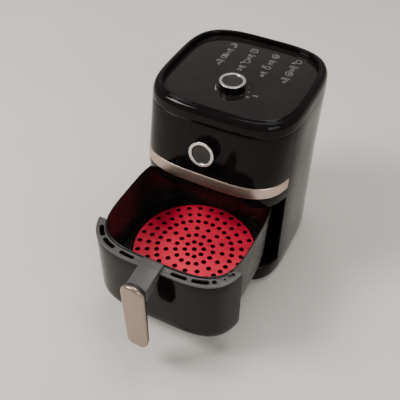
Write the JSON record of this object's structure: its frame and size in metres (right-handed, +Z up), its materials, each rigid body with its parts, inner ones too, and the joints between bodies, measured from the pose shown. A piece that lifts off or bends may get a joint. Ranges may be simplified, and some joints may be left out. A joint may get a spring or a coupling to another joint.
{
  "type": "air fryer",
  "caption": "Rounded-square basket air fryer with its drawer pulled out, two dials, a metal-look band, an upright handle and a perforated silicone mat in the pan.",
  "frame": {"origin": "under the middle of the whole outline with the drawer at its rest (drawn-out) position, on the surface the feet stand on", "axes": "+Z up, -Y out of the front, the way the drawer opens, +X to the right of somebody facing the front"},
  "size_m": [0.251, 0.4726, 0.3424],
  "materials": {
    "gloss_black": "high-gloss black moulded plastic",
    "panel_black": "smooth glossy near-black panel",
    "grey_plastic": "satin dark grey heat-resistant plastic",
    "black_plastic": "fine-grained matt black plastic",
    "champagne": "brushed champagne-silver metallised plastic",
    "silver": "satin silver ring",
    "nonstick": "black non-stick coating on steel",
    "silicone": "matt red silicone",
    "rubber": "matt black rubber",
    "steel": "plain steel",
    "heater": "heat-darkened steel sheath",
    "alu": "aluminised sheet",
    "white_plastic": "off-white heat-resistant plastic",
    "brass": "turned brass"
  },
  "bodies": {
    "body": {"side_shell": "gloss_black", "top_cover": "gloss_black", "top_panel": "panel_black", "front_fascia": "gloss_black", "band_trim": "champagne", "front_plinth": "gloss_black", "base_tray": "black_plastic", "runner_left": "black_plastic", "runner_right": "black_plastic", "chamber_wall": "nonstick", "chamber_roof": "alu", "heater_coil": "heater", "heater_guard": "steel", "guard_post_1": "steel", "guard_post_2": "steel", "guard_post_3": "steel", "motor_body": "steel", "motor_bracket": "alu", "fan_shroud": "black_plastic", "thermostat_body": "white_plastic", "thermostat_bulb": "brass", "timer_body": "white_plastic", "timer_bell": "steel", "terminal_block": "white_plastic", "microswitch": "black_plastic", "rear_grille": "black_plastic", "exhaust_duct": "alu", "cord_outlet": "rubber", "foot_1": "rubber", "foot_2": "rubber", "foot_3": "rubber", "foot_4": "rubber", "base_screw_1": "steel", "base_screw_2": "steel"},
    "rotor": {"motor_shaft": "steel", "convection_fan": "steel", "cooling_fan": "black_plastic"},
    "plunger": {"switch_plunger": "brass"},
    "temp_dial": {"temp_dial_body": "gloss_black", "temp_dial_ring": "silver", "temp_dial_cap": "panel_black", "temp_dial_shaft": "brass"},
    "timer_dial": {"timer_dial_body": "gloss_black", "timer_dial_ring": "silver", "timer_dial_cap": "panel_black", "timer_dial_shaft": "brass"},
    "drawer": {"drawer_front": "gloss_black", "collar": "grey_plastic", "pan": "nonstick", "switch_tab": "grey_plastic", "handle_bridge": "grey_plastic", "handle_grip": "black_plastic", "handle_cover": "champagne"},
    "plate": {"crisper_plate": "nonstick", "plate_foot_1": "rubber", "plate_foot_2": "rubber", "plate_foot_3": "rubber", "plate_foot_4": "rubber"},
    "mat": {"silicone_mat": "silicone"}
  },
  "joints": [
    {"name": "drawer_slide", "type": "slide", "parent": "body", "child": "drawer", "axis": [0, -1, 0], "range_m": [-0.1636, 0.09]},
    {"name": "temp_knob_turn", "type": "hinge", "parent": "body", "child": "temp_dial", "pos_m": [0, 0.08145, 0.3424], "axis": [0, 0, -1], "range_deg": [-135, 135]},
    {"name": "timer_knob_turn", "type": "hinge", "parent": "body", "child": "timer_dial", "pos_m": [0, -0.00957, 0.2714], "axis": [0, 0.9839, -0.1786], "range_deg": [0, 300]},
    {"name": "fan_spin", "type": "hinge", "parent": "body", "child": "rotor", "pos_m": [0, 0.12195, 0.25], "axis": [0, 0, 1], "continuous": true},
    {"name": "plate_lift", "type": "slide", "parent": "drawer", "child": "plate", "axis": [0, 0, 1], "range_m": [0, 0.05]},
    {"name": "mat_lift", "type": "slide", "parent": "plate", "child": "mat", "axis": [0, 0, 1], "range_m": [0, 0.03]},
    {"name": "switch_press", "type": "slide", "parent": "body", "child": "plunger", "axis": [0, 1, 0], "range_m": [0, 0.0012], "stiffness_N_per_m": 150}
  ]
}
